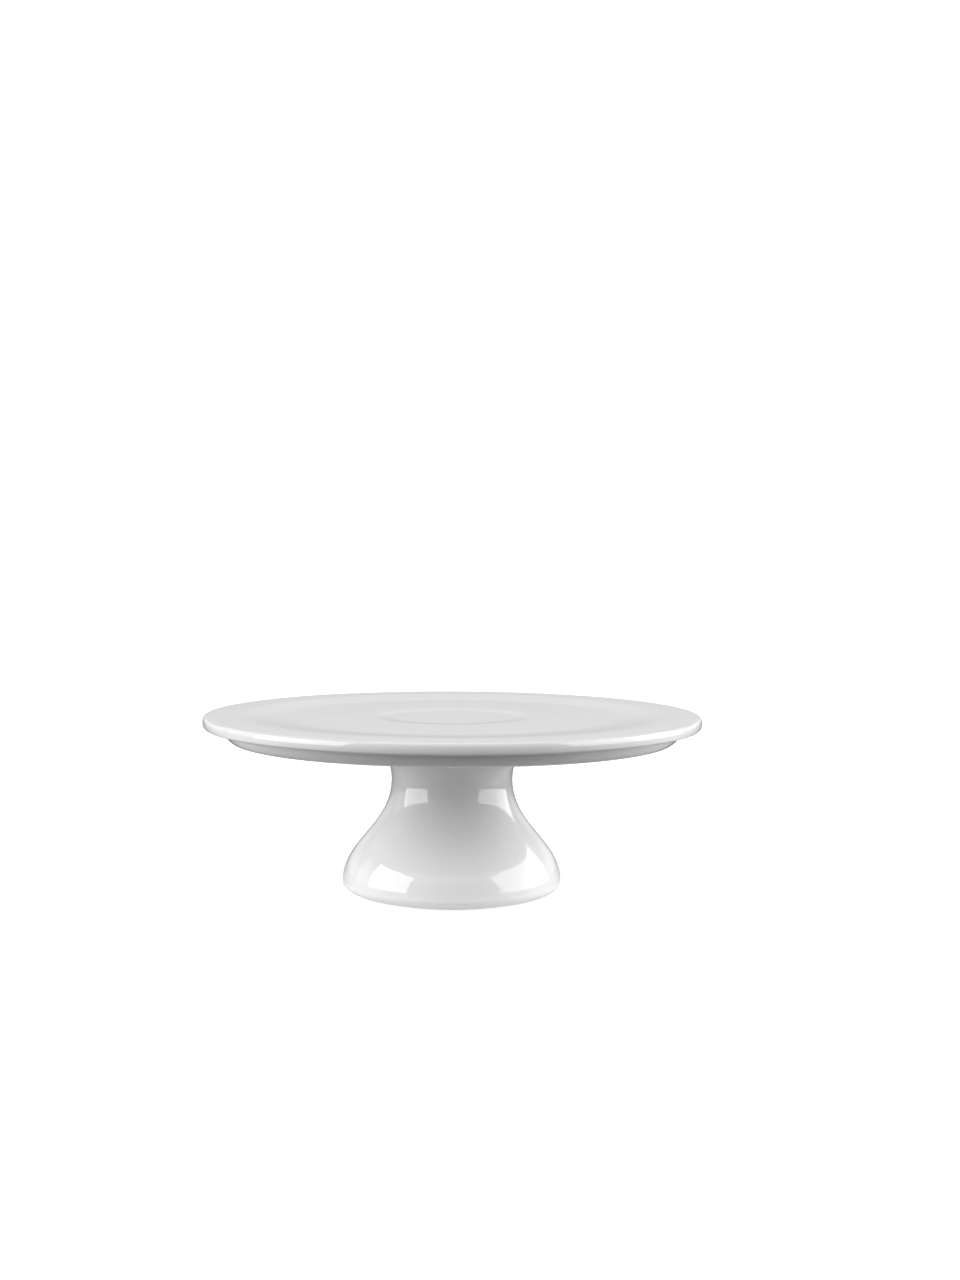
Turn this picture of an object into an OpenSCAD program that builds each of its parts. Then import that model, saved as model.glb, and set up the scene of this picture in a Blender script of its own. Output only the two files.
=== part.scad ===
// Footed cake stand in glazed white porcelain: a flat, shallow-welled plate on a hollow bell-shaped
// pedestal. The two are shaped separately, stuck together with slip while leather-hard, and fired.
// Millimetres, +Z up. The origin is on the table, at the centre of the pedestal's foot.

/* [Overall] */
// Height from the table to the top of the rim
stand_h = 90.5; // [72:0.5:150]
// Diameter of the plate over its rim
plate_d = 246; // [200:1:320]

/* [Plate] */
// Thickness of the rim
rim_t = 5.8; // [4.6:0.1:9]
// Radius of the rim's upper and lower edges
rim_round = 1.5; // [1:0.1:2]
// Angle from level at which the rim's bulging face turns into those edges
rim_face_angle = 20; // [10:1:35]
// Thickness of the floor of the plate
floor_t = 5.6; // [4.4:0.1:9]
// Width of the level top of the rim, measured in from its edge
rim_w = 15; // [8:0.5:25]
// Depth of the well below the top of the rim
well_depth = 0.9; // [0.4:0.1:2]
// Width of the soft slope that runs from the rim down to the well
well_slope_w = 28; // [5:0.5:30]
// Radius of the faint dish in the middle of the well
dish_r = 41; // [25:0.5:60]
// Depth of the faint dish below the well
dish_depth = 0.4; // [0.2:0.1:1]
// Width of the slope around the dish
dish_slope_w = 12; // [3:0.5:20]

/* [Ring under the plate] */
// Distance of the ring's outer face in from the edge of the rim
ring_inset = 10; // [7:0.5:25]
// Height of the ring below the underside of the rim
ring_h = 7; // [4:0.1:7.4]
// Radius of the ring's quarter-round faces
ring_round = 7.5; // [7.5:0.1:12]
// Width of the flat lip along the bottom of the ring
ring_lip_w = 3; // [2:0.1:6]

/* [Pedestal] */
// Wall of the pedestal
wall_t = 4.6; // [3.4:0.1:6.5]
// Radius of the belly, the widest part of the foot
belly_r = 54.5; // [46:0.5:80]
// Height of the belly above the table
belly_z = 7.3; // [6:0.1:12]
// Radius of the waist, the narrowest part
waist_r = 30.1; // [22:0.5:38]
// Depth of the waist below the top of the pedestal
waist_drop = 24.7; // [18:0.5:32]
// Pull of the side's curve straight up from the belly
belly_pull = 19.6; // [10:0.5:24]
// Pull of the side's curve straight down from the waist
waist_pull = 23.6; // [12:0.5:28]
// Radius of the bend that opens from the waist to the flared top
flare_bend_r = 24; // [16:0.5:40]
// Angle of the flared top away from vertical
flare_angle = 46; // [30:1:55]

/* [Foot] */
// Outer radius of the unglazed foot ring that stands on the table
foot_r = 41.4; // [36:0.5:60]
// Width of the unglazed foot ring
foot_w = 3.6; // [2.5:0.1:6]
// Height by which the glazed foot clears the table at the foot ring
foot_lift = 0.8; // [0.4:0.1:1.6]

/* [Slip joint] */
// Thickness of the slip between the pedestal and the plate
slip_t = 0.8; // [0.4:0.1:1.5]
// Radius of the fillet smoothed around the outside of the joint
slip_fillet_r = 5; // [3:0.5:9]
// Radius of the bead left inside the joint
slip_bead_r = 2; // [1:0.25:4]

/* [Hidden] */
$fn = 128;

// Steps along each curved stretch of the outlines
side_steps = 22;
arc_steps = 8;
slope_steps = 10;

// Plate levels and radii
plate_r = plate_d / 2;
rim_under_z = stand_h - rim_t;
well_z = stand_h - well_depth;
plate_under_z = well_z - floor_t;
rim_edge_r = plate_r - rim_w;
ring_r = plate_r - ring_inset;

// How far a quarter-round face has come in where the ring's flat lip cuts it
ring_undercut = ring_round - sqrt(ring_round ^ 2 - ring_h ^ 2);
ring_outer_centre = ring_r - ring_round;
ring_inner_centre = ring_r - 2 * ring_undercut - ring_lip_w + ring_round;

// Pedestal levels
top_z = plate_under_z - slip_t;
waist_z = top_z - waist_drop;
flare_bend_z = waist_z + flare_bend_r * sin(flare_angle);
flare_bend_out = flare_bend_r * (1 - cos(flare_angle));

// Control points of the pedestal's side, from the belly up to the waist
side = [
    [belly_r, belly_z],
    [belly_r, belly_z + belly_pull],
    [waist_r, waist_z - waist_pull],
    [waist_r, waist_z]];

// Inside of the foot, from the lip's inner edge out to the step of the side where the wall turns even
lip_r = foot_r - foot_w;
lip_top_z = foot_lift + wall_t;
even_step = 4;
lip_round_r = 1.6;

// A point on a cubic curve with four control points, and the curve's direction there
function curve_point(p, t) =
    (1 - t) ^ 3 * p[0] + 3 * (1 - t) ^ 2 * t * p[1] + 3 * (1 - t) * t ^ 2 * p[2] + t ^ 3 * p[3];
function curve_way(p, t) =
    (1 - t) ^ 2 * (p[1] - p[0]) + 2 * (1 - t) * t * (p[2] - p[1]) + t ^ 2 * (p[3] - p[2]);

// The same point moved inwards, square to the curve, by a wall
function inside_point(p, t, wall) =
    let (way = curve_way(p, t))
    curve_point(p, t) + wall * [-way[1], way[0]] / norm(way);

// Points along an arc or a quarter of an ellipse
function arc_points(centre, r, z, from, to, steps) =
    [for (i = [0 : steps])
        let (a = from + (to - from) * i / steps)
        centre + [r * cos(a), z * sin(a)]];

// Radius of the flared top's face at a height, that far behind the outer face
function flare_r(z, depth) =
    waist_r + flare_bend_out + (z - flare_bend_z) * tan(flare_angle) - depth / cos(flare_angle);

// Points of a fillet in the corner between two directions
function fillet_points(corner, from, to, r, steps) =
    let (middle = (from + to) / 2)
    let (half = abs(to - from) / 2)
    let (centre = corner + r / sin(half) * [cos(middle), sin(middle)])
    [for (i = [0 : steps])
        let (a = middle + 180 + (half - 90 + (180 - 2 * half) * i / steps) * sign(from - to))
        centre + r * [cos(a), sin(a)]];

// What is cut away above a well: a level floor with a soft slope, half a cosine wave, around it
module well_cut(r, slope_w, z, depth) {
    above = 1;
    polygon(concat(
        [[0, z + depth + above], [0, z]],
        [for (i = [0 : slope_steps])
            [r + slope_w * i / slope_steps, z + depth * (1 - cos(180 * i / slope_steps)) / 2]],
        [[r + slope_w, z + depth + above]]));
}

// Half-section of the ring under the plate: two quarter-round faces over a flat lip
module ring_section() {
    root = rim_under_z - ring_h;
    intersection() {
        union() {
            translate([ring_outer_centre, rim_under_z])
                circle(ring_round);
            translate([0, root])
                square([ring_outer_centre, ring_h]);
        }
        union() {
            translate([ring_inner_centre, rim_under_z])
                circle(ring_round);
            translate([ring_inner_centre, root])
                square([ring_round, ring_h]);
        }
        translate([0, root])
            square([plate_r, ring_h]);
    }
}

// Half-section of the disc out to its rim: a gently bulging face between two rounded edges
module rim_section() {
    bulge_r = rim_round + (rim_t / 2 - rim_round) / sin(rim_face_angle);
    bulge_centre = [plate_r - bulge_r, stand_h - rim_t / 2];
    edge_out = (bulge_r - rim_round) * cos(rim_face_angle);
    edge_up = (bulge_r - rim_round) * sin(rim_face_angle);
    polygon(concat(
        [[0, rim_under_z]],
        arc_points(bulge_centre + [edge_out, -edge_up], rim_round, rim_round,
                   -90, -rim_face_angle, arc_steps),
        [for (i = [1 : arc_steps - 1])
            let (a = rim_face_angle * (2 * i / arc_steps - 1))
            bulge_centre + bulge_r * [cos(a), sin(a)]],
        arc_points(bulge_centre + [edge_out, edge_up], rim_round, rim_round,
                   rim_face_angle, 90, arc_steps),
        [[0, stand_h]]));
}

// Half-section of the plate
module plate_section() {
    difference() {
        union() {
            rim_section();
            translate([0, plate_under_z])
                square([ring_outer_centre, stand_h - rim_t / 2 - plate_under_z]);
            ring_section();
        }
        well_cut(rim_edge_r - well_slope_w, well_slope_w, well_z, well_depth);
        well_cut(dish_r - dish_slope_w, dish_slope_w, well_z - dish_depth, dish_depth);
    }
}

// Half-section of the pedestal's wall: up the outside from the foot ring, then down the inside
module pedestal_section() {
    bend_centre = [waist_r + flare_bend_r, waist_z];
    inner_bend_r = flare_bend_r + wall_t;
    even_point = inside_point(side, even_step / side_steps, wall_t);
    even_way = curve_way(side, even_step / side_steps);
    lip_reach = (even_point[0] - lip_r) / 2;
    hollow_foot = [
        [lip_r + lip_round_r, lip_top_z],
        [lip_r + lip_round_r + lip_reach, lip_top_z],
        even_point - even_way / norm(even_way) * (even_point[1] - lip_top_z) / 2,
        even_point];
    polygon(concat(
        [[lip_r, 0], [foot_r, 0]],
        arc_points([foot_r, belly_z], belly_r - foot_r, belly_z - foot_lift, -90, 0, 2 * arc_steps),
        [for (i = [1 : side_steps]) curve_point(side, i / side_steps)],
        [for (i = [1 : arc_steps])
            let (a = flare_angle * i / arc_steps)
            bend_centre + flare_bend_r * [-cos(a), sin(a)]],
        [[flare_r(top_z, 0), top_z], [flare_r(top_z, wall_t), top_z]],
        [for (i = [arc_steps : -1 : 1])
            let (a = flare_angle * i / arc_steps)
            bend_centre + inner_bend_r * [-cos(a), sin(a)]],
        [for (i = [side_steps : -1 : even_step + 1]) inside_point(side, i / side_steps, wall_t)],
        [for (i = [arc_steps : -1 : 0]) curve_point(hollow_foot, i / arc_steps)],
        arc_points([lip_r + lip_round_r, lip_top_z - lip_round_r], lip_round_r, lip_round_r,
                   90 + 90 / 4, 180, 3)));
}

// Half-section of the slip: a thin layer under the plate, filleted outside and beaded inside
module slip_section() {
    outer_corner = [flare_r(plate_under_z, 0), plate_under_z];
    inner_corner = [flare_r(plate_under_z, wall_t), plate_under_z];
    down_the_flare = 270 - flare_angle;
    polygon(concat(
        fillet_points(outer_corner, 360, down_the_flare, slip_fillet_r, arc_steps),
        [[flare_r(top_z, 0), top_z], [flare_r(top_z, wall_t), top_z]],
        fillet_points(inner_corner, down_the_flare, 180, slip_bead_r, arc_steps)));
}

module plate() {
    color("white")
        rotate_extrude()
            plate_section();
}

module pedestal() {
    color("whitesmoke")
        rotate_extrude()
            pedestal_section();
}

module slip_joint() {
    color("ivory")
        rotate_extrude()
            slip_section();
}

plate();
pedestal();
slip_joint();
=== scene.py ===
"""A footed porcelain cake stand: a shallow plate, a hollow pedestal and the slip joint between them.

Run as a script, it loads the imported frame, turns each piece around it, glazes the pieces and sets up
a plain pale studio. The same steps are offered one by one in the 3D view's sidebar. Sizes are in metres.
"""

import math

import bmesh
import bpy
from bpy.props import FloatProperty, FloatVectorProperty, IntProperty, PointerProperty
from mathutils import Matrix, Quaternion, Vector


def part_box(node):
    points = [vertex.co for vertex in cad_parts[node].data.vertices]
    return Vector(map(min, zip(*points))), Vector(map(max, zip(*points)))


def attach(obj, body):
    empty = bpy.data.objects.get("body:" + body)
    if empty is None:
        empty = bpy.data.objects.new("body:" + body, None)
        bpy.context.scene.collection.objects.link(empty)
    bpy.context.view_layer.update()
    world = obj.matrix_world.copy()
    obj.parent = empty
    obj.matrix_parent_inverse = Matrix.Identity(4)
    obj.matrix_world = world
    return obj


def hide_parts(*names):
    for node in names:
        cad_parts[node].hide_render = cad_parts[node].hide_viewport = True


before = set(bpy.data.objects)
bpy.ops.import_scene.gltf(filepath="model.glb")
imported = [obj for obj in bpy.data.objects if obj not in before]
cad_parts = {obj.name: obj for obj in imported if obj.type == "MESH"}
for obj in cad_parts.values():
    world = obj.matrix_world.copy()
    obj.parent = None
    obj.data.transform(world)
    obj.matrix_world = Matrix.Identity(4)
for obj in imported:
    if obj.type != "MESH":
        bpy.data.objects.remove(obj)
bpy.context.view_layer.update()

bl_info = {
    "name": "Porcelain cake stand",
    "version": (1, 0, 0),
    "blender": (4, 5, 0),
    "location": "3D View > Sidebar > Cake stand",
    "description": "Models a footed porcelain cake stand around its packed frame",
    "category": "Add Mesh",
}

BODY = "root"

# What the frame fixes: the plate's rim and ring, the pedestal's belly and top, and the slip's bed
PLATE_LOW, PLATE_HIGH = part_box("plate")
PEDESTAL_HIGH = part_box("pedestal")[1]
SLIP_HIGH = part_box("slip_joint")[1]
PLATE_R = PLATE_HIGH.x
STAND_TOP = PLATE_HIGH.z
RING_BOTTOM = PLATE_LOW.z
BELLY_R = PEDESTAL_HIGH.x
FLARE_TOP = PEDESTAL_HIGH.z
PLATE_UNDER = SLIP_HIGH.z

# Points this near each other are one point, are merged at a seam, or lie at one level
SAME_POINT = 0.000001
SEAM_GAP = 0.000002
SAME_LEVEL = 0.00001


def length(name, description, default):
    """A size that the sidebar shows in the scene's own unit of length."""
    return FloatProperty(name=name, description=description, default=default, unit="LENGTH", precision=5)


def slant(name, description, degrees):
    """An angle that the sidebar shows in degrees."""
    return FloatProperty(
        name=name, description=description, default=math.radians(degrees), subtype="ANGLE"
    )


def amount(name, description, default):
    """A plain number, such as a brightness or a share."""
    return FloatProperty(name=name, description=description, default=default)


def tint(name, description, default):
    """A colour that the sidebar shows as a swatch."""
    return FloatVectorProperty(
        name=name, description=description, default=default, subtype="COLOR", min=0, max=1
    )


class PlateShape(bpy.types.PropertyGroup):
    """Sizes of the plate that the frame's box doesn't give."""

    rim_t: length("Rim thickness", "Thickness of the rim", 0.0058)
    rim_round: length("Rim rounding", "Radius of the rim's upper and lower edges", 0.0015)
    rim_face_angle: slant("Rim face angle", "Angle from level at which the bulging face ends", 20)
    rim_w: length("Rim width", "Width of the level top of the rim, from its edge", 0.015)
    well_depth: length("Well depth", "Depth of the well below the top of the rim", 0.0009)
    well_slope_w: length("Well slope", "Width of the soft slope from the rim to the well", 0.028)
    dish_r: length("Dish radius", "Radius of the faint dish in the middle", 0.041)
    dish_depth: length("Dish depth", "Depth of the faint dish below the well", 0.0004)
    dish_slope_w: length("Dish slope", "Width of the slope around the dish", 0.012)
    ring_inset: length("Ring inset", "Distance of the ring in from the rim's edge", 0.010)
    ring_round: length("Ring rounding", "Radius of the ring's quarter-round faces", 0.0075)
    ring_lip_w: length("Ring lip", "Width of the flat lip along the ring's bottom", 0.003)
    glaze_fillet: length("Glaze fillet", "Radius of the glaze that fills the inner corners", 0.0006)
    centre_r: length("Centre", "Radius of the smallest ring of faces at the centre", 0.002)


class PedestalShape(bpy.types.PropertyGroup):
    """Sizes of the pedestal that the frame's box doesn't give."""

    wall_t: length("Wall", "Wall of the pedestal", 0.0046)
    belly_z: length("Belly height", "Height of the widest part above the table", 0.0073)
    waist_r: length("Waist radius", "Radius of the narrowest part", 0.0301)
    waist_drop: length("Waist drop", "Depth of the waist below the pedestal's top", 0.0247)
    belly_pull: length("Belly pull", "Pull of the side's curve up from the belly", 0.0196)
    waist_pull: length("Waist pull", "Pull of the side's curve down from the waist", 0.0236)
    flare_bend_r: length("Flare bend", "Radius of the bend that opens to the flared top", 0.024)
    flare_angle: slant("Flare angle", "Angle of the flared top away from vertical", 46)
    foot_r: length("Foot radius", "Outer radius of the unglazed foot ring", 0.0414)
    foot_w: length("Foot width", "Width of the unglazed foot ring", 0.0036)
    foot_lift: length("Foot lift", "Height of the glazed foot above the table", 0.0008)
    foot_edge: length("Foot edge", "Radius rubbed onto the foot ring's edges", 0.0003)
    lip_round: length("Lip rounding", "Radius inside the foot ring's top", 0.0016)


class SlipShape(bpy.types.PropertyGroup):
    """Sizes of the slip joint."""

    fillet_r: length("Fillet", "Radius of the fillet smoothed round the joint", 0.005)
    bead_r: length("Bead", "Radius of the bead left inside the joint", 0.002)
    bed: length("Bed", "Depth by which the slip's edges sink into both pieces", 0.00004)


class GlazeLook(bpy.types.PropertyGroup):
    """Colours and finish of the porcelain."""

    white: tint("Glaze", "Colour of the glazed porcelain", (0.800, 0.800, 0.797))
    # The darker, bluer white of the creases: partly pooled glaze, partly painted shade
    pooled_and_shaded_white: tint("Pooled glaze and shade", "Colour where the glaze lies thick", (0.735, 0.748, 0.750))
    clay: tint("Bare clay", "Colour of the unglazed foot ring", (0.745, 0.725, 0.690))
    speck: tint("Speck", "Colour of the rare specks under the glaze", (0.56, 0.54, 0.50))
    unevenness: length("Unevenness", "Height of the slow waves left by pressing and firing", 0.0001)
    wave_size: length("Wave size", "Size of those waves", 0.06)
    wave_fade: length("Wave fade", "Height above the table over which the waves fade in", 0.006)


class StageSetup(bpy.types.PropertyGroup):
    """Camera, lights and floor."""

    camera_distance: length("Camera distance", "Distance of the camera from the axis", 1.0)
    camera_height: length("Camera height", "Height of the camera above the table", 0.1944)
    aim_height: length("Aim height", "Height on the axis that the camera points at", 0.048)
    lens: amount("Lens", "Focal length in millimetres", 57.05)
    roll: FloatProperty(
        name="Roll", description="Roll of the camera", default=0.0035, subtype="ANGLE", precision=4
    )
    shift_x: amount("Shift X", "Sideways shift of the lens", 0.0219)
    shift_y: amount("Shift Y", "Upward shift of the lens", 0.1241)
    floor_size: length("Floor size", "Side of the square floor", 16.0)
    floor_white: tint("Floor", "Colour of the floor near the stand", (0.34, 0.34, 0.34))
    floor_side: amount("Side floor", "Whiteness of the floor beside the stand", 0.62)
    floor_far: amount("Far floor", "Share of its whiteness that the floor keeps farther off", 0.06)
    under_glow: amount("Under glow", "Light thrown up around the foot", 0.45)
    floor_glow: amount("Floor glow", "How pale the floor looks in shade", 0.80)
    backdrop: amount("Backdrop", "Brightness that the camera sees behind", 1.05)
    back_wall: amount("Back wall", "Light from the pale wall behind", 0.56)
    wall_glow: amount("Wall glow", "Light added along the wall's middle", 0.15)
    above_wall: amount("Above the wall", "Light from just above that wall", 0.45)
    beside: amount("Beside", "Light from between the wall and the softboxes", 1.0)
    front: amount("Front", "Light from high in front", 1.15)
    light_target: length("Light target", "Height on the axis that the softboxes face", 0.05)
    left_light: amount("Left softbox", "Brightness of its face", 4.7)
    right_light: amount("Right softbox", "Brightness of its face", 3.6)
    strip_light: amount("Strip softbox", "Brightness of its face", 7.0)


class Turning(bpy.types.PropertyGroup):
    """How finely the pieces are turned."""

    around: IntProperty(name="Around", description="Faces around the axis", default=192, min=24)
    side: IntProperty(name="Side", description="Rings along the pedestal's side", default=40, min=8)
    bend: IntProperty(name="Bend", description="Rings along each rounded stretch", default=12, min=4)


# Outlines, as lists of (radius, height)

# Share of the pedestal's side, from the belly up, where its wall becomes even
EVEN_WALL_FROM = 4 / 22


def arc(centre, radius, start, end, steps, height_radius=None):
    """Points along an arc, or along a quarter of an ellipse, between two angles in degrees."""
    tall = radius if height_radius is None else height_radius
    turns = [math.radians(start + (end - start) * i / steps) for i in range(steps + 1)]
    return [(centre[0] + radius * math.cos(a), centre[1] + tall * math.sin(a)) for a in turns]


def level(start, end, height, steps):
    """Evenly spaced points along a level stretch."""
    return [(start + (end - start) * i / steps, height) for i in range(steps + 1)]


def soft_slope(inner, width, low, rise, steps):
    """A slope shaped as half a cosine wave, rising outwards."""
    return [
        (inner + width * i / steps, low + rise * (1 - math.cos(math.pi * i / steps)) / 2)
        for i in range(steps + 1)
    ]


def curve_point(pulls, t):
    """A point on a cubic curve with four control points."""
    weights = ((1 - t) ** 3, 3 * (1 - t) ** 2 * t, 3 * (1 - t) * t**2, t**3)
    return sum((Vector(p) * w for p, w in zip(pulls, weights)), Vector((0, 0)))


def curve_way(pulls, t):
    """The curve's direction at that point, at unit length."""
    weights = ((1 - t) ** 2, 2 * (1 - t) * t, t**2)
    steps = (Vector(b) - Vector(a) for a, b in zip(pulls, pulls[1:]))
    return sum((s * w for s, w in zip(steps, weights)), Vector((0, 0))).normalized()


def inside_point(pulls, t, wall):
    """The curve's point moved square to it, inwards by the wall."""
    way = curve_way(pulls, t)
    return curve_point(pulls, t) + wall * Vector((-way.y, way.x))


def without_repeats(points):
    """The outline with points that repeat the one before left out."""
    kept = [points[0]]
    for point in points[1:]:
        if (Vector(point) - Vector(kept[-1])).length > SAME_POINT:
            kept.append(tuple(point))
    return kept


def rim_outline(shape, steps):
    """The rim's gently bulging face between two rounded edges, from its top down to its underside."""
    turn = shape.rim_face_angle
    edge = shape.rim_round
    bulge_r = edge + (shape.rim_t / 2 - edge) / math.sin(turn)
    centre = Vector((PLATE_R - bulge_r, STAND_TOP - shape.rim_t / 2))
    out = Vector((math.cos(turn), math.sin(turn))) * (bulge_r - edge)
    tilt = math.degrees(turn)
    return (
        arc(centre + out, edge, 90, tilt, steps)
        + arc(centre, bulge_r, tilt, -tilt, steps)
        + arc(centre + Vector((out.x, -out.y)), edge, -tilt, -90, steps)
    )


def plate_outline(shape, turning):
    """The plate's half-section, from the middle of its top over the rim to the middle of its underside."""
    rim_under = STAND_TOP - shape.rim_t
    well_z = STAND_TOP - shape.well_depth
    dish_z = well_z - shape.dish_depth
    rim_inner = PLATE_R - shape.rim_w
    well_r = rim_inner - shape.well_slope_w
    dish_floor_r = shape.dish_r - shape.dish_slope_w
    ring_r = PLATE_R - shape.ring_inset
    ring_h = rim_under - RING_BOTTOM
    bend, fillet = turning.bend, shape.glaze_fillet
    rim = rim_outline(shape, bend)

    # Each quarter-round face of the ring stops where the flat lip cuts it
    lip_angle = math.degrees(math.asin(ring_h / shape.ring_round))
    undercut = shape.ring_round * (1 - math.cos(math.radians(lip_angle)))
    outer_centre = (ring_r - shape.ring_round, rim_under)
    inner_centre = (ring_r - 2 * undercut - shape.ring_lip_w + shape.ring_round, rim_under)
    under_drop = rim_under - PLATE_UNDER
    root_angle = math.degrees(math.asin(under_drop / shape.ring_round))
    fillet_angle = math.degrees(fillet / shape.ring_round)
    root_r = inner_centre[0] - shape.ring_round * math.cos(math.radians(root_angle))

    return without_repeats(
        level(shape.centre_r, dish_floor_r, dish_z, bend // 2)
        + soft_slope(dish_floor_r, shape.dish_slope_w, dish_z, shape.dish_depth, bend)
        + level(shape.dish_r, well_r, well_z, bend // 2)
        + soft_slope(well_r, shape.well_slope_w, well_z, shape.well_depth, bend)
        + level(rim_inner, rim[0][0], STAND_TOP, bend // 3)
        + rim
        + level(rim[-1][0], ring_r + fillet, rim_under, bend // 3)
        + arc((ring_r + fillet, rim_under - fillet), fillet, 90, 180, bend // 3)
        + arc(outer_centre, shape.ring_round, -fillet_angle, -lip_angle, bend)
        + arc(inner_centre, shape.ring_round, 180 + lip_angle, 180 + root_angle + fillet_angle, bend)
        + arc((root_r - fillet, PLATE_UNDER - fillet), fillet, 0, 90, bend // 3)
        + level(root_r - fillet, shape.centre_r, PLATE_UNDER, 2 * bend)
    )


def side_pulls(shape):
    """Control points of the pedestal's side, from the belly up to the waist."""
    waist_z = FLARE_TOP - shape.waist_drop
    return [
        (BELLY_R, shape.belly_z),
        (BELLY_R, shape.belly_z + shape.belly_pull),
        (shape.waist_r, waist_z - shape.waist_pull),
        (shape.waist_r, waist_z),
    ]


def flare_r(shape, height, depth):
    """Radius of the flared top's face at a height, that far behind its outer face."""
    bend_z = FLARE_TOP - shape.waist_drop + shape.flare_bend_r * math.sin(shape.flare_angle)
    bend_out = shape.flare_bend_r * (1 - math.cos(shape.flare_angle))
    run = (height - bend_z) * math.tan(shape.flare_angle)
    return shape.waist_r + bend_out + run - depth / math.cos(shape.flare_angle)


def pedestal_outline(shape, turning):
    """The pedestal's half-section: up the outside from the foot ring, then down the inside, and closed."""
    pulls = side_pulls(shape)
    side, bend = turning.side, turning.bend
    lip_r = shape.foot_r - shape.foot_w
    lip_top = shape.foot_lift + shape.wall_t
    edge, lip_round = shape.foot_edge, shape.lip_round
    bend_centre = (shape.waist_r + shape.flare_bend_r, FLARE_TOP - shape.waist_drop)
    opened = 180 - math.degrees(shape.flare_angle)

    # Below the even wall the hollow rounds in to the lip
    even_step = math.ceil(EVEN_WALL_FROM * side)
    even_point = inside_point(pulls, EVEN_WALL_FROM, shape.wall_t)
    reach = (even_point.x - lip_r) / 2
    drop = curve_way(pulls, EVEN_WALL_FROM) * (even_point.y - lip_top) / 2
    hollow_foot = [
        (lip_r + lip_round, lip_top),
        (lip_r + lip_round + reach, lip_top),
        even_point - drop,
        even_point,
    ]
    return without_repeats(
        arc((shape.foot_r - edge, edge), edge, -90, 0, bend // 3)
        + arc(
            (shape.foot_r, shape.belly_z), BELLY_R - shape.foot_r, -90, 0, 2 * bend,
            height_radius=shape.belly_z - shape.foot_lift,
        )
        + [tuple(curve_point(pulls, i / side)) for i in range(1, side + 1)]
        + arc(bend_centre, shape.flare_bend_r, 180, opened, bend)
        + [(flare_r(shape, FLARE_TOP, 0), FLARE_TOP), (flare_r(shape, FLARE_TOP, shape.wall_t), FLARE_TOP)]
        + arc(bend_centre, shape.flare_bend_r + shape.wall_t, opened, 180, bend)
        + [tuple(inside_point(pulls, i / side, shape.wall_t)) for i in range(side, even_step, -1)]
        + [tuple(curve_point(hollow_foot, i / bend)) for i in range(bend, -1, -1)]
        + arc((lip_r + lip_round, lip_top - lip_round), lip_round, 90, 180, bend // 2)
        + arc((lip_r + edge, edge), edge, 180, 270, bend // 3)
        + [(shape.foot_r - edge, 0)]
    )


def corner_round(corner, start, end, radius, steps):
    """Points of a fillet in the corner between two directions, in degrees."""
    middle, half = (start + end) / 2, abs(end - start) / 2
    out = radius / math.sin(math.radians(half))
    centre = (
        corner[0] + out * math.cos(math.radians(middle)),
        corner[1] + out * math.sin(math.radians(middle)),
    )
    swing = (half - 90) * (1 if start > end else -1)
    return arc(centre, radius, middle + 180 + swing, middle + 180 - swing, steps)


def slip_outline(slip, pedestal, turning):
    """The slip's half-section, closed: the fillet outside, the layer on top and the bead inside."""
    bed_z = PLATE_UNDER + slip.bed
    wall = pedestal.wall_t
    outer = (flare_r(pedestal, bed_z, slip.bed), bed_z)
    inner = (flare_r(pedestal, bed_z, wall - slip.bed), bed_z)
    down = 270 - math.degrees(pedestal.flare_angle)
    fillet = corner_round(outer, 360, down, slip.fillet_r, turning.bend)
    bead = corner_round(inner, down, 180, slip.bead_r, turning.bend)
    top = [(outer[0], FLARE_TOP), (inner[0], FLARE_TOP)]
    return without_repeats(fillet + top + bead + [fillet[0]])


# Turning a piece from its outline


def begin_ring(name, start, around):
    """Adds a piece's first ring at its size and place, and leaves it selected in edit mode."""
    bpy.ops.object.select_all(action="DESELECT")
    bpy.ops.mesh.primitive_circle_add(vertices=around, radius=start[0], location=(0, 0, start[1]))
    piece = bpy.context.object
    piece.name = name
    piece.data.name = name
    bpy.ops.object.transform_apply(location=True, rotation=True, scale=True)
    bpy.ops.object.mode_set(mode="EDIT")
    bpy.ops.mesh.select_mode(type="VERT")
    bpy.ops.mesh.select_all(action="SELECT")
    return piece


def draw_rings(outline):
    """Extrudes the selected ring from point to point along an outline."""
    for (radius, height), (next_radius, next_height) in zip(outline, outline[1:]):
        bpy.ops.mesh.extrude_region_move(
            TRANSFORM_OT_translate={"value": (0, 0, next_height - height)}
        )
        grow = next_radius / radius
        bpy.ops.transform.resize(value=(grow, grow, 1), center_override=(0, 0, next_height))


def select_rings(piece, wanted):
    """Selects the vertices whose (radius, height) a test wants, and nothing else."""
    bpy.ops.mesh.select_all(action="DESELECT")
    mesh = bmesh.from_edit_mesh(piece.data)
    for vertex in mesh.verts:
        vertex.select = wanted(Vector(vertex.co.xy).length, vertex.co.z)
    mesh.select_flush(True)
    bmesh.update_edit_mesh(piece.data)


def close_middle(piece, height, ring_r):
    """Merges the smallest ring at a height into one vertex on the axis."""
    reach = ring_r + SAME_LEVEL
    select_rings(piece, lambda r, z: r < reach and abs(z - height) < SAME_LEVEL)
    bpy.ops.mesh.merge(type="CENTER")


def finish_turning(piece):
    """Merges the seam, turns the faces outwards and checks that the piece is closed."""
    bpy.ops.mesh.select_all(action="SELECT")
    bpy.ops.mesh.remove_doubles(threshold=SEAM_GAP)
    bpy.ops.mesh.normals_make_consistent(inside=False)
    bpy.ops.mesh.select_all(action="DESELECT")
    bpy.ops.mesh.select_non_manifold()
    mesh = bmesh.from_edit_mesh(piece.data)
    loose = sum(vertex.select for vertex in mesh.verts)
    bpy.ops.mesh.select_all(action="DESELECT")
    bpy.ops.object.mode_set(mode="OBJECT")
    if loose:
        raise RuntimeError(f"{piece.name} isn't closed: {loose} vertices lie on an open edge")
    bpy.ops.object.shade_smooth()


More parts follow.
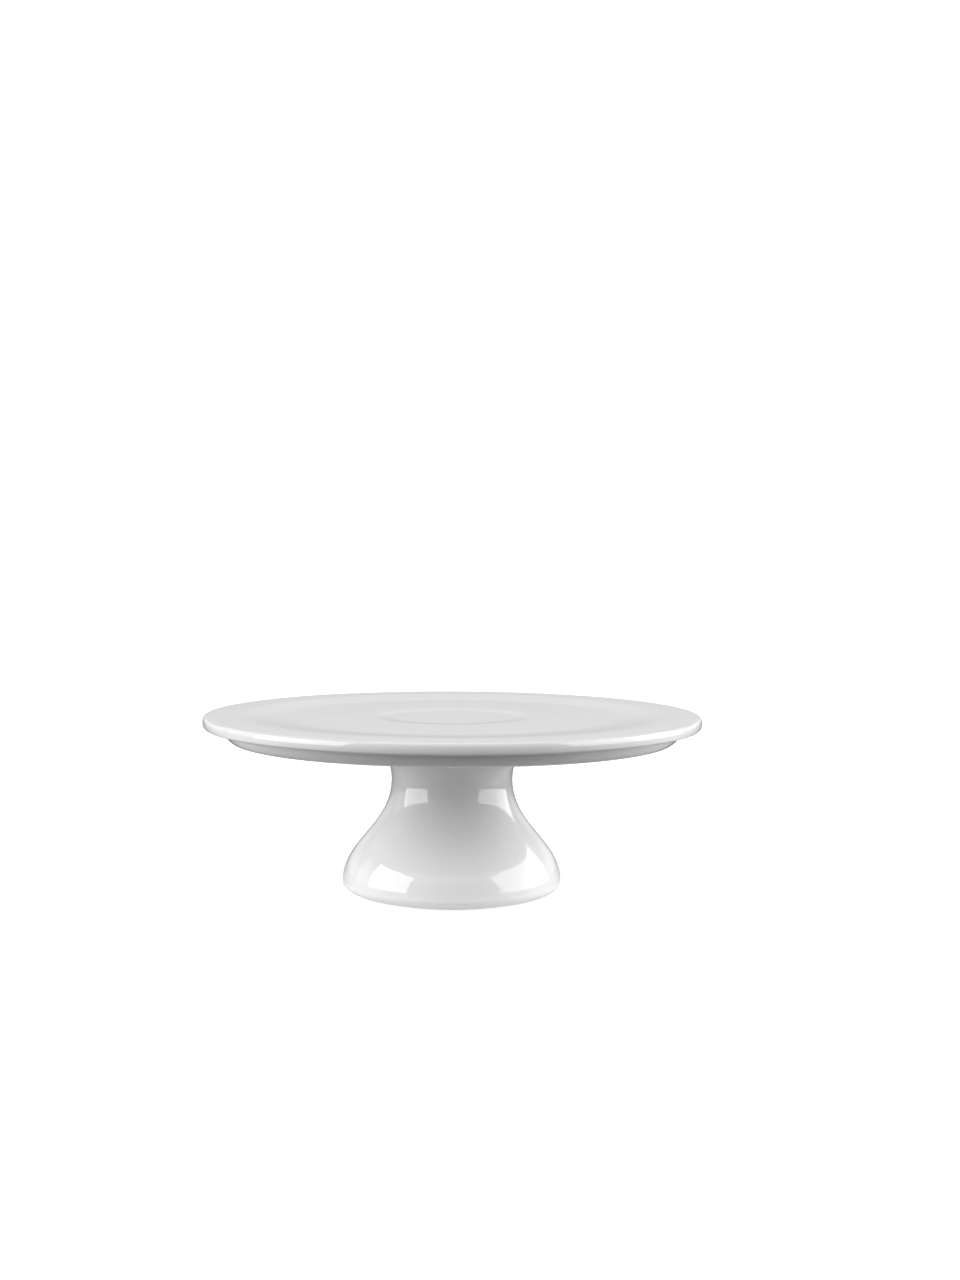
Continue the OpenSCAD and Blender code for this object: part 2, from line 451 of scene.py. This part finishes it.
def settle(piece, look):
    """Gives a piece the slow, shallow waves that pressing and firing leave, fading out at the table."""
    off_table = "off_the_table"
    fading = piece.vertex_groups.new(name=off_table)
    for vertex in piece.data.vertices:
        share = min(1.0, max(0.0, vertex.co.z / look.wave_fade))
        fading.add([vertex.index], share, "REPLACE")
    waves = bpy.data.textures.new(f"{piece.name}_waves", type="CLOUDS")
    waves.noise_scale = look.wave_size
    waves.noise_depth = 1
    modifier = piece.modifiers.new("fired_unevenness", "DISPLACE")
    modifier.texture = waves
    modifier.texture_coords = "LOCAL"
    modifier.strength = look.unevenness
    modifier.mid_level = 1.0
    modifier.vertex_group = off_table
    bpy.ops.object.modifier_apply(modifier=modifier.name)
    piece.vertex_groups.remove(piece.vertex_groups[off_table])
    bpy.data.textures.remove(waves)


def turn_piece(name, outline, stand, closed_r=None):
    """Turns a piece from its outline; one that closes on the axis gives the radius of its smallest ring."""
    piece = begin_ring(name, outline[0], stand.turning.around)
    draw_rings(outline)
    if closed_r:
        for height in (outline[0][1], outline[-1][1]):
            close_middle(piece, height, closed_r)
    finish_turning(piece)
    settle(piece, stand.look)
    return piece


def place(piece, node, material):
    """Puts a finished piece in the frame: its body, the node it stands for and its glaze."""
    piece.data.materials.append(material)
    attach(piece, BODY)
    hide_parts(node)


# Materials


def add_node(tree, kind, inputs=(), **settings):
    """Adds a node, sets its settings, and fills or links its inputs from (name, value or socket) pairs."""
    node = tree.nodes.new(kind)
    for name, value in settings.items():
        setattr(node, name, value)
    for name, value in dict(inputs).items():
        if isinstance(value, bpy.types.NodeSocket):
            tree.links.new(value, node.inputs[name])
        else:
            node.inputs[name].default_value = value
    return node


def maths(tree, operation, first, second=0.0, clamp=False):
    """The output of a Math node on two values or sockets."""
    node = add_node(tree, "ShaderNodeMath", {0: first, 1: second}, operation=operation, use_clamp=clamp)
    return node.outputs[0]


def blend_colours(tree, share, first, second):
    """The output of a colour Mix node: first where the share is 0, second where it is 1."""
    # The node's inputs 6 and 7 are its two colours, and its output 2 is the colour they make
    return add_node(
        tree, "ShaderNodeMix", {0: share, 6: first, 7: second}, data_type="RGBA", clamp_factor=True
    ).outputs[2]


def ramp_between(tree, value, low, high):
    """A soft ramp: 0 at low and 1 at high, or the other way round where low is the larger."""
    return add_node(
        tree, "ShaderNodeMapRange",
        {"Value": value, "From Min": low, "From Max": high, "To Min": 0.0, "To Max": 1.0},
        interpolation_type="SMOOTHSTEP",
    ).outputs["Result"]


def between_values(tree, share, low, high):
    """The low value where the share is 0, the high one where it is 1, and in proportion between."""
    return add_node(
        tree, "ShaderNodeMapRange", {"Value": share, "To Min": low, "To Max": high}
    ).outputs["Result"]


def noise(tree, vector, scale, detail, roughness=0.5):
    """Cloudy noise with that many clouds to the metre."""
    return add_node(
        tree, "ShaderNodeTexNoise",
        {"Vector": vector, "Scale": scale, "Detail": detail, "Roughness": roughness},
    ).outputs["Fac"]


def rare_spots(tree, vector, scale, channel, rarity, edge, core):
    """Small round spots in the few cells that pass the rarity: 1 in a spot's core, 0 past its edge."""
    cells = add_node(tree, "ShaderNodeTexVoronoi", {"Vector": vector, "Scale": scale}, feature="F1")
    chance = add_node(tree, "ShaderNodeSeparateColor", {0: cells.outputs["Color"]}).outputs[channel]
    rare = maths(tree, "GREATER_THAN", chance, rarity)
    return maths(tree, "MULTIPLY", rare, ramp_between(tree, cells.outputs["Distance"], edge, core))


def off_axis(tree, vector):
    """A point's distance from the stand's axis, and its height above the table."""
    parts = add_node(tree, "ShaderNodeSeparateXYZ", {0: vector}).outputs
    flat = add_node(tree, "ShaderNodeCombineXYZ", {"X": parts["X"], "Y": parts["Y"]}).outputs[0]
    radius = add_node(tree, "ShaderNodeVectorMath", {0: flat}, operation="LENGTH").outputs["Value"]
    return radius, parts["Z"]


def new_group(name, inputs, outputs):
    """A shader node group with named sockets: (name, kind, default) in, (name, kind) out."""
    tree = bpy.data.node_groups.new(name, "ShaderNodeTree")
    for label, kind, default in inputs:
        socket = tree.interface.new_socket(label, in_out="INPUT", socket_type=kind)
        socket.default_value = default
    for label, kind in outputs:
        tree.interface.new_socket(label, in_out="OUTPUT", socket_type=kind)
    return tree, tree.nodes.new("NodeGroupInput").outputs, tree.nodes.new("NodeGroupOutput").inputs


def rgba(colour):
    """A colour property as four numbers."""
    return (*colour, 1.0)


def glaze_tone_group():
    """Slow drifts of tone in the glaze, a darker, bluer white along the creases that is partly pooled glaze
    and partly painted shade, and the rare specks that show through it.
    """
    tree, given, out = new_group(
        "glaze_tone",
        [
            ("Vector", "NodeSocketVector", (0, 0, 0)),
            ("White", "NodeSocketColor", (0.8, 0.8, 0.8, 1)),
            ("Pooled And Shaded White", "NodeSocketColor", (0.7, 0.7, 0.7, 1)),
            ("Speck", "NodeSocketColor", (0.5, 0.5, 0.5, 1)),
            ("Drift", "NodeSocketFloat", 0.3),
            ("Pool And Shade", "NodeSocketFloat", 0.0),
            ("Speck Strength", "NodeSocketFloat", 0.55),
        ],
        [("Color", "NodeSocketColor")],
    )
    slow = noise(tree, given["Vector"], scale=22.0, detail=3.0, roughness=0.55)
    drift = maths(tree, "MULTIPLY", ramp_between(tree, slow, low=0.35, high=0.70), given["Drift"])
    drift_pool_and_shade = maths(tree, "MAXIMUM", drift, given["Pool And Shade"], clamp=True)
    glazed = blend_colours(tree, drift_pool_and_shade, given["White"], given["Pooled And Shaded White"])
    specks = rare_spots(
        tree, given["Vector"], scale=150.0, channel=0, rarity=0.985, edge=0.055, core=0.02
    )
    mark = maths(tree, "MULTIPLY", specks, given["Speck Strength"])
    tree.links.new(blend_colours(tree, mark, glazed, given["Speck"]), out["Color"])
    return tree


def glaze_skin_group():
    """The fired surface: orange-peel ripple, pinholes and the roughness that drifts over it."""
    tree, given, out = new_group(
        "glaze_skin",
        [
            ("Vector", "NodeSocketVector", (0, 0, 0)),
            ("Smoothest", "NodeSocketFloat", 0.04),
            ("Roughest", "NodeSocketFloat", 0.09),
            ("Peel", "NodeSocketFloat", 1.0),
            ("Ripple Height", "NodeSocketFloat", 0.000004),
            ("Swell Height", "NodeSocketFloat", 0.000007),
            ("Pinhole Depth", "NodeSocketFloat", 0.00002),
        ],
        [("Roughness", "NodeSocketFloat"), ("Height", "NodeSocketFloat")],
    )
    drift = noise(tree, given["Vector"], scale=60.0, detail=4.0)
    rough = add_node(
        tree, "ShaderNodeMapRange",
        {
            "Value": drift, "From Min": 0.3, "From Max": 0.7,
            "To Min": given["Smoothest"], "To Max": given["Roughest"],
        },
    ).outputs["Result"]
    peel = noise(tree, given["Vector"], scale=320.0, detail=1.0)
    wide = noise(tree, given["Vector"], scale=75.0, detail=0.0)
    ripple_height = maths(tree, "MULTIPLY", given["Peel"], given["Ripple Height"])
    swell_height = maths(tree, "MULTIPLY", given["Peel"], given["Swell Height"])
    raised = maths(
        tree, "ADD",
        maths(tree, "MULTIPLY", peel, ripple_height), maths(tree, "MULTIPLY", wide, swell_height),
    )
    holes = rare_spots(
        tree, given["Vector"], scale=420.0, channel=1, rarity=0.988, edge=0.12, core=0.03
    )
    sunk = maths(tree, "MULTIPLY", holes, given["Pinhole Depth"])
    tree.links.new(rough, out["Roughness"])
    tree.links.new(maths(tree, "SUBTRACT", raised, sunk), out["Height"])
    return tree


def crease_group():
    """How near a point is to a circle round the axis along a crease, where the glaze is drawn darker,
    partly as pooled glaze and partly as painted shade: 1 on it, 0 past its reach.
    """
    tree, given, out = new_group(
        "crease",
        [
            ("Vector", "NodeSocketVector", (0, 0, 0)),
            ("Radius", "NodeSocketFloat", 0.1),
            ("Height", "NodeSocketFloat", 0.0),
            ("Reach", "NodeSocketFloat", 0.003),
        ],
        [("Mask", "NodeSocketFloat")],
    )
    radius, height = off_axis(tree, given["Vector"])
    out_by = maths(tree, "SUBTRACT", radius, given["Radius"])
    up_by = maths(tree, "SUBTRACT", height, given["Height"])
    far = maths(tree, "SQRT", maths(tree, "ADD", maths(tree, "MULTIPLY", out_by, out_by),
                                    maths(tree, "MULTIPLY", up_by, up_by)))
    near = maths(tree, "SUBTRACT", 1.0, maths(tree, "DIVIDE", far, given["Reach"]), clamp=True)
    tree.links.new(maths(tree, "MULTIPLY", near, near), out["Mask"])
    return tree


def bare_foot_group():
    """The unglazed foot ring: 1 on bare clay below a slightly wandering glaze line, 0 above it."""
    tree, given, out = new_group(
        "bare_foot",
        [
            ("Vector", "NodeSocketVector", (0, 0, 0)),
            ("Line Height", "NodeSocketFloat", 0.0008),
            ("Line Wander", "NodeSocketFloat", 0.0005),
            ("Line Blur", "NodeSocketFloat", 0.00008),
            ("Inner Radius", "NodeSocketFloat", 0.037),
            ("Outer Radius", "NodeSocketFloat", 0.042),
            ("Side Blur", "NodeSocketFloat", 0.0001),
        ],
        [("Mask", "NodeSocketFloat"), ("Grain", "NodeSocketFloat")],
    )
    radius, height = off_axis(tree, given["Vector"])
    wander = noise(tree, given["Vector"], scale=130.0, detail=2.0)
    line = maths(tree, "ADD", given["Line Height"], maths(tree, "MULTIPLY", wander, given["Line Wander"]))
    below = ramp_between(tree, maths(tree, "SUBTRACT", line, height), 0.0, given["Line Blur"])
    inside = maths(tree, "SUBTRACT", radius, given["Inner Radius"])
    outside = maths(tree, "SUBTRACT", given["Outer Radius"], radius)
    inner = ramp_between(tree, inside, 0.0, given["Side Blur"])
    outer = ramp_between(tree, outside, 0.0, given["Side Blur"])
    mask = maths(tree, "MULTIPLY", below, maths(tree, "MULTIPLY", inner, outer))
    tree.links.new(mask, out["Mask"])
    tree.links.new(noise(tree, given["Vector"], scale=2600.0, detail=3.0), out["Grain"])
    return tree


def use_group(tree, name, make, inputs):
    """A shared node group in a material, with its own values; the first material to ask has it made."""
    group = bpy.data.node_groups.get(name) or make()
    return add_node(tree, "ShaderNodeGroup", inputs, node_tree=group).outputs


# Refraction of the glaze, how far its tone drifts, and how the bare clay differs from it
GLAZE_IOR = 1.52
TONE_DRIFT = 0.25
CLAY_MOTTLE = 0.5
CLAY_ROUGHNESS = 0.6
CLAY_GRAIN = 0.00004


def glaze_material(name, look, creases, peel, smoothest, roughest, foot=None):
    """Glazed porcelain, darker in its creases with pooled glaze and painted shade: creases are (radius,
    height, reach), foot the bare ring's (line, inner, outer).
    """
    material = bpy.data.materials.new(name)
    material.use_nodes = True
    tree = material.node_tree
    shader = tree.nodes["Principled BSDF"]
    shader.inputs["IOR"].default_value = GLAZE_IOR
    place_on = add_node(tree, "ShaderNodeTexCoord").outputs["Object"]

    # Creases get the darker, bluer white: partly pooled glaze, partly painted shade in corners that lie in
    # shade
    masks = [
        use_group(tree, "crease", crease_group, {
            "Vector": place_on, "Radius": radius, "Height": height, "Reach": reach,
        })["Mask"]
        for radius, height, reach in creases
    ]
    pool_and_shade = masks[0]
    for mask in masks[1:]:
        pool_and_shade = maths(tree, "MAXIMUM", pool_and_shade, mask)
    colour = use_group(tree, "glaze_tone", glaze_tone_group, {
        "Vector": place_on, "White": rgba(look.white), "Pooled And Shaded White": rgba(look.pooled_and_shaded_white),
        "Speck": rgba(look.speck), "Drift": TONE_DRIFT, "Pool And Shade": pool_and_shade,
    })["Color"]
    skin = use_group(tree, "glaze_skin", glaze_skin_group, {
        "Vector": place_on, "Smoothest": smoothest, "Roughest": roughest, "Peel": peel,
    })
    rough, height = skin["Roughness"], skin["Height"]

    if foot:
        line, inner, outer = foot
        bare = use_group(tree, "bare_foot", bare_foot_group, {
            "Vector": place_on, "Line Height": line, "Inner Radius": inner, "Outer Radius": outer,
        })
        mottle = maths(tree, "MULTIPLY", bare["Grain"], CLAY_MOTTLE)
        clay = blend_colours(tree, mottle, rgba(look.clay), rgba(look.white))
        colour = blend_colours(tree, bare["Mask"], colour, clay)
        rough = maths(tree, "ADD", rough, maths(tree, "MULTIPLY", bare["Mask"], CLAY_ROUGHNESS))
        grain = maths(tree, "MULTIPLY", bare["Mask"], bare["Grain"])
        height = maths(tree, "ADD", height, maths(tree, "MULTIPLY", grain, CLAY_GRAIN))

    bump = add_node(tree, "ShaderNodeBump", {"Height": height, "Strength": 1.0, "Distance": 1.0})
    tree.links.new(colour, shader.inputs["Base Color"])
    tree.links.new(rough, shader.inputs["Roughness"])
    tree.links.new(bump.outputs["Normal"], shader.inputs["Normal"])
    return material


# The stage

# Distances from the axis, in metres, between which the floor changes, and its paper's finish
UNDERGLOW_REACH = (0.10, 0.065)
GLOW_REACH = (0.05, 0.6)
NEAR_FLOOR = (0.10, 0.26)
NEAR_FLOOR_SHAPE = (0.35, 1.0, 1.0)
SIDE_FLOOR = (0.10, 0.24)
PAPER_FIBRE = 0.985
PAPER_ROUGHNESS = 0.9
PAPER_SHEEN = 0.1

# Patches of the surroundings: degrees from straight behind, and above the horizon, over which each
# fades in and then out again
BEHIND = (-2, -1, 52, 54)
BESIDE = (54, 60, 88, 90)
BEFORE = (90, 130, 181, 182)
WALL_RISE = (-14, -6, 8, 22)
WALL_MIDDLE_RISE = (2, 9, 13, 20)
ABOVE_WALL_RISE = (14, 28, 30, 54)
BESIDE_RISE = (-14, -6, 20, 34)
FRONT_RISE = (10, 42, 50, 70)


def floor_paper_colour(tree, place_on, seen, setup):
    """Faintly fibrous paper that is paler beside the stand, and dim far before and behind it."""
    near = rgba(setup.floor_white)
    fibre = noise(tree, place_on, scale=90.0, detail=4.0)
    shaded = rgba([channel * PAPER_FIBRE for channel in setup.floor_white])
    paper = blend_colours(tree, fibre, near, shaded)
    sideways = maths(
        tree, "ABSOLUTE", add_node(tree, "ShaderNodeSeparateXYZ", {0: place_on}).outputs["X"]
    )
    side = rgba([setup.floor_side] * 3)
    paper = blend_colours(tree, ramp_between(tree, sideways, *SIDE_FLOOR), paper, side)

    # Farther off, the floor throws little light back, as a narrow table would, but is seen no darker
    squeezed = add_node(
        tree, "ShaderNodeVectorMath", {0: place_on, 1: NEAR_FLOOR_SHAPE}, operation="MULTIPLY"
    ).outputs["Vector"]
    across = add_node(tree, "ShaderNodeVectorMath", {0: squeezed}, operation="LENGTH").outputs["Value"]
    past = ramp_between(tree, across, *NEAR_FLOOR)
    far = maths(tree, "MULTIPLY", past, maths(tree, "SUBTRACT", 1.0, seen))
    dim = rgba([channel * setup.floor_far for channel in setup.floor_white])
    return blend_colours(tree, far, paper, dim)


def stage_material(name, setup):
    """Plain pale studio paper that looks evenly white but for the stand's shade."""
    material = bpy.data.materials.new(name)
    material.use_nodes = True
    tree = material.node_tree
    shader = tree.nodes["Principled BSDF"]
    place_on = add_node(tree, "ShaderNodeTexCoord").outputs["Object"]
    seen = add_node(tree, "ShaderNodeLightPath").outputs["Is Camera Ray"]
    tree.links.new(floor_paper_colour(tree, place_on, seen, setup), shader.inputs["Base Color"])
    shader.inputs["Roughness"].default_value = PAPER_ROUGHNESS
    shader.inputs["Specular IOR Level"].default_value = PAPER_SHEEN

    out = add_node(tree, "ShaderNodeVectorMath", {0: place_on}, operation="LENGTH").outputs["Value"]
    spread = ramp_between(tree, out, *GLOW_REACH)
    glow = between_values(tree, spread, setup.floor_glow, setup.backdrop)
    under = maths(tree, "MULTIPLY", ramp_between(tree, out, *UNDERGLOW_REACH), setup.under_glow)
    shader.inputs["Emission Color"].default_value = (1, 1, 1, 1)
    tree.links.new(between_values(tree, seen, under, glow), shader.inputs["Emission Strength"])
    return material


def add_softbox(name, setup, azimuth, elevation, distance, width, height, radiance):
    """A softbox that faces the stand, azimuth 0 in front and positive to the right, in degrees."""
    target = Vector((0, 0, setup.light_target))
    a, e = math.radians(azimuth), math.radians(elevation)
    out = Vector((math.sin(a) * math.cos(e), -math.cos(a) * math.cos(e), math.sin(e)))
    bpy.ops.object.select_all(action="DESELECT")
    bpy.ops.object.light_add(type="AREA", location=target + out * distance)
    box = bpy.context.object
    box.name = name
    box.data.name = name
    box.rotation_euler = out.to_track_quat("Z", "Y").to_euler()
    box.data.shape = "RECTANGLE"
    box.data.size = width
    box.data.size_y = height
    # An area light's power is spread over a half-space, so this gives its face the radiance asked for
    box.data.energy = radiance * math.pi * width * height
    box.visible_camera = False


def pale_surroundings(setup):
    """Light from a pale wall behind, from both sides of it and from high in front, and a white backdrop."""
    world = bpy.data.worlds.new("pale_studio")
    world.use_nodes = True
    bpy.context.scene.world = world
    tree = world.node_tree
    background = tree.nodes["Background"]
    way = add_node(tree, "ShaderNodeTexCoord").outputs["Generated"]
    parts = add_node(tree, "ShaderNodeSeparateXYZ", {0: way}).outputs
    from_back = maths(tree, "ABSOLUTE", maths(tree, "ARCTAN2", parts["X"], parts["Y"]))
    rise = maths(tree, "ARCSINE", parts["Z"])

    def between(value, degrees):
        """1 between the middle two of four angles, and fading to 0 at the outer two."""
        a, b, c, d = (math.radians(angle) for angle in degrees)
        return maths(tree, "MULTIPLY", ramp_between(tree, value, a, b), ramp_between(tree, value, d, c))

    lit = 0.0
    for strength, sideways, upwards in (
        (setup.back_wall, BEHIND, WALL_RISE),
        (setup.wall_glow, BEHIND, WALL_MIDDLE_RISE),
        (setup.above_wall, BEHIND, ABOVE_WALL_RISE),
        (setup.beside, BESIDE, BESIDE_RISE),
        (setup.front, BEFORE, FRONT_RISE),
    ):
        patch = maths(tree, "MULTIPLY", between(from_back, sideways), between(rise, upwards))
        lit = maths(tree, "ADD", lit, maths(tree, "MULTIPLY", patch, strength))
    seen = add_node(tree, "ShaderNodeLightPath").outputs["Is Camera Ray"]
    tree.links.new(between_values(tree, seen, lit, setup.backdrop), background.inputs["Strength"])
    background.inputs["Color"].default_value = (1, 1, 1, 1)


def add_camera(setup):
    """The camera, turned to look at the stand a little from above."""
    bpy.ops.object.select_all(action="DESELECT")
    bpy.ops.object.camera_add(location=(0, -setup.camera_distance, setup.camera_height))
    camera = bpy.context.object
    camera.name = "camera"
    aim = Vector((0, 0, setup.aim_height)) - camera.location
    turned = aim.to_track_quat("-Z", "Y") @ Quaternion((0, 0, 1), setup.roll)
    camera.rotation_euler = turned.to_euler()
    camera.data.lens = setup.lens
    camera.data.shift_x = setup.shift_x
    camera.data.shift_y = setup.shift_y
    bpy.context.scene.camera = camera


# Operators, one for each piece and one for the stage


class CAKESTAND_OT_plate(bpy.types.Operator):
    """Turn the plate with its rim, its well and the ring beneath it"""

    bl_idname = "cakestand.plate"
    bl_label = "Plate"
    bl_options = {"REGISTER", "UNDO"}

    def execute(self, context):
        stand = context.scene.cake_stand
        shape = stand.plate
        outline = plate_outline(shape, stand.turning)
        piece = turn_piece("porcelain_plate", outline, stand, closed_r=shape.centre_r)
        ring_r = PLATE_R - shape.ring_inset
        ring_w = 0.0126  # from the ring's outer face to the root of its inner one
        joint_r = flare_r(stand.pedestal, PLATE_UNDER, 0) + stand.slip.fillet_r
        # Circles drawn darker: partly pooled glaze, partly painted shade under the rim, in the ring's root
        # and round the joint
        creases = [
            (ring_r, STAND_TOP - shape.rim_t, 0.0022),
            (ring_r - ring_w, PLATE_UNDER, 0.004),
            (joint_r, PLATE_UNDER, 0.003),
        ]
        material = glaze_material(
            "plate_glaze", stand.look, creases, peel=0.7, smoothest=0.022, roughest=0.05
        )
        place(piece, "plate", material)
        return {"FINISHED"}


class CAKESTAND_OT_pedestal(bpy.types.Operator):
    """Turn the hollow pedestal from its foot ring up to its flared top and back down inside"""

    bl_idname = "cakestand.pedestal"
    bl_label = "Pedestal"
    bl_options = {"REGISTER", "UNDO"}

    def execute(self, context):
        stand = context.scene.cake_stand
        shape = stand.pedestal
        outline = pedestal_outline(shape, stand.turning)
        piece = turn_piece("porcelain_pedestal", outline, stand)
        # Circles drawn darker: partly pooled glaze, partly painted shade at the top under the plate and at
        # the foot by the table
        creases = [
            (flare_r(shape, FLARE_TOP, 0), FLARE_TOP, 0.006),
            (shape.foot_r, shape.foot_lift, 0.0015),
        ]
        glaze_line = shape.foot_lift * 0.6
        glaze_gap = 0.0006
        foot = (glaze_line, shape.foot_r - shape.foot_w - glaze_gap, shape.foot_r + glaze_gap)
        material = glaze_material(
            "pedestal_glaze", stand.look, creases, peel=0.8, smoothest=0.012, roughest=0.03, foot=foot
        )
        place(piece, "pedestal", material)
        return {"FINISHED"}


class CAKESTAND_OT_slip_joint(bpy.types.Operator):
    """Turn the slip that joins the pedestal to the plate, filleted outside and beaded inside"""

    bl_idname = "cakestand.slip_joint"
    bl_label = "Slip joint"
    bl_options = {"REGISTER", "UNDO"}

    def execute(self, context):
        stand = context.scene.cake_stand
        outline = slip_outline(stand.slip, stand.pedestal, stand.turning)
        piece = turn_piece("slip_joint_fillet", outline, stand)
        # The slip is drawn darker: partly pooled glaze, partly painted shade in the joint under the plate
        creases = [(flare_r(stand.pedestal, PLATE_UNDER, 0), PLATE_UNDER, 0.008)]
        material = glaze_material(
            "joint_glaze", stand.look, creases, peel=1.6, smoothest=0.05, roughest=0.1
        )
        place(piece, "slip_joint", material)
        return {"FINISHED"}


class CAKESTAND_OT_stage(bpy.types.Operator):
    """Set up the floor, the pale surroundings, the softboxes and the camera"""

    bl_idname = "cakestand.stage"
    bl_label = "Stage"
    bl_options = {"REGISTER", "UNDO"}

    def execute(self, context):
        setup = context.scene.cake_stand.stage
        bpy.ops.object.select_all(action="DESELECT")
        bpy.ops.mesh.primitive_plane_add(size=setup.floor_size, location=(0, 0, 0))
        floor = context.object
        floor.name = "floor"
        floor.data.materials.append(stage_material("floor_paper", setup))
        pale_surroundings(setup)
        add_softbox(
            "left_softbox", setup, azimuth=-71, elevation=13, distance=1.2,
            width=1.1, height=0.95, radiance=setup.left_light,
        )
        add_softbox(
            "right_softbox", setup, azimuth=87, elevation=15, distance=1.2,
            width=1.75, height=1.1, radiance=setup.right_light,
        )
        add_softbox(
            "strip_softbox", setup, azimuth=180, elevation=86, distance=1.3,
            width=0.9, height=0.2, radiance=setup.strip_light,
        )
        add_camera(setup)
        context.scene.view_settings.view_transform = "Standard"
        return {"FINISHED"}


class StandSettings(bpy.types.PropertyGroup):
    """Everything that the stand is made from."""

    plate: PointerProperty(type=PlateShape)
    pedestal: PointerProperty(type=PedestalShape)
    slip: PointerProperty(type=SlipShape)
    look: PointerProperty(type=GlazeLook)
    turning: PointerProperty(type=Turning)
    stage: PointerProperty(type=StageSetup)


class CAKESTAND_PT_panel(bpy.types.Panel):
    """The sidebar's list of steps, each over its own sizes"""

    bl_idname = "CAKESTAND_PT_panel"
    bl_label = "Cake stand"
    bl_space_type = "VIEW_3D"
    bl_region_type = "UI"
    bl_category = "Cake stand"

    def draw(self, context):
        stand = context.scene.cake_stand
        for operator, groups in (
            (CAKESTAND_OT_plate, (stand.plate, stand.turning, stand.look)),
            (CAKESTAND_OT_pedestal, (stand.pedestal,)),
            (CAKESTAND_OT_slip_joint, (stand.slip,)),
            (CAKESTAND_OT_stage, (stand.stage,)),
        ):
            box = self.layout.box()
            box.operator(operator.bl_idname)
            for group in groups:
                for name in group.__annotations__:
                    box.prop(group, name)


CLASSES = (
    PlateShape, PedestalShape, SlipShape, GlazeLook, Turning, StageSetup, StandSettings,
    CAKESTAND_OT_plate, CAKESTAND_OT_pedestal, CAKESTAND_OT_slip_joint, CAKESTAND_OT_stage,
    CAKESTAND_PT_panel,
)


def register():
    for each in CLASSES:
        bpy.utils.register_class(each)
    bpy.types.Scene.cake_stand = PointerProperty(type=StandSettings)


def unregister():
    del bpy.types.Scene.cake_stand
    for each in reversed(CLASSES):
        bpy.utils.unregister_class(each)


def main():
    register()
    bpy.ops.cakestand.plate()
    bpy.ops.cakestand.pedestal()
    bpy.ops.cakestand.slip_joint()
    bpy.ops.cakestand.stage()


if __name__ == "__main__":
    main()
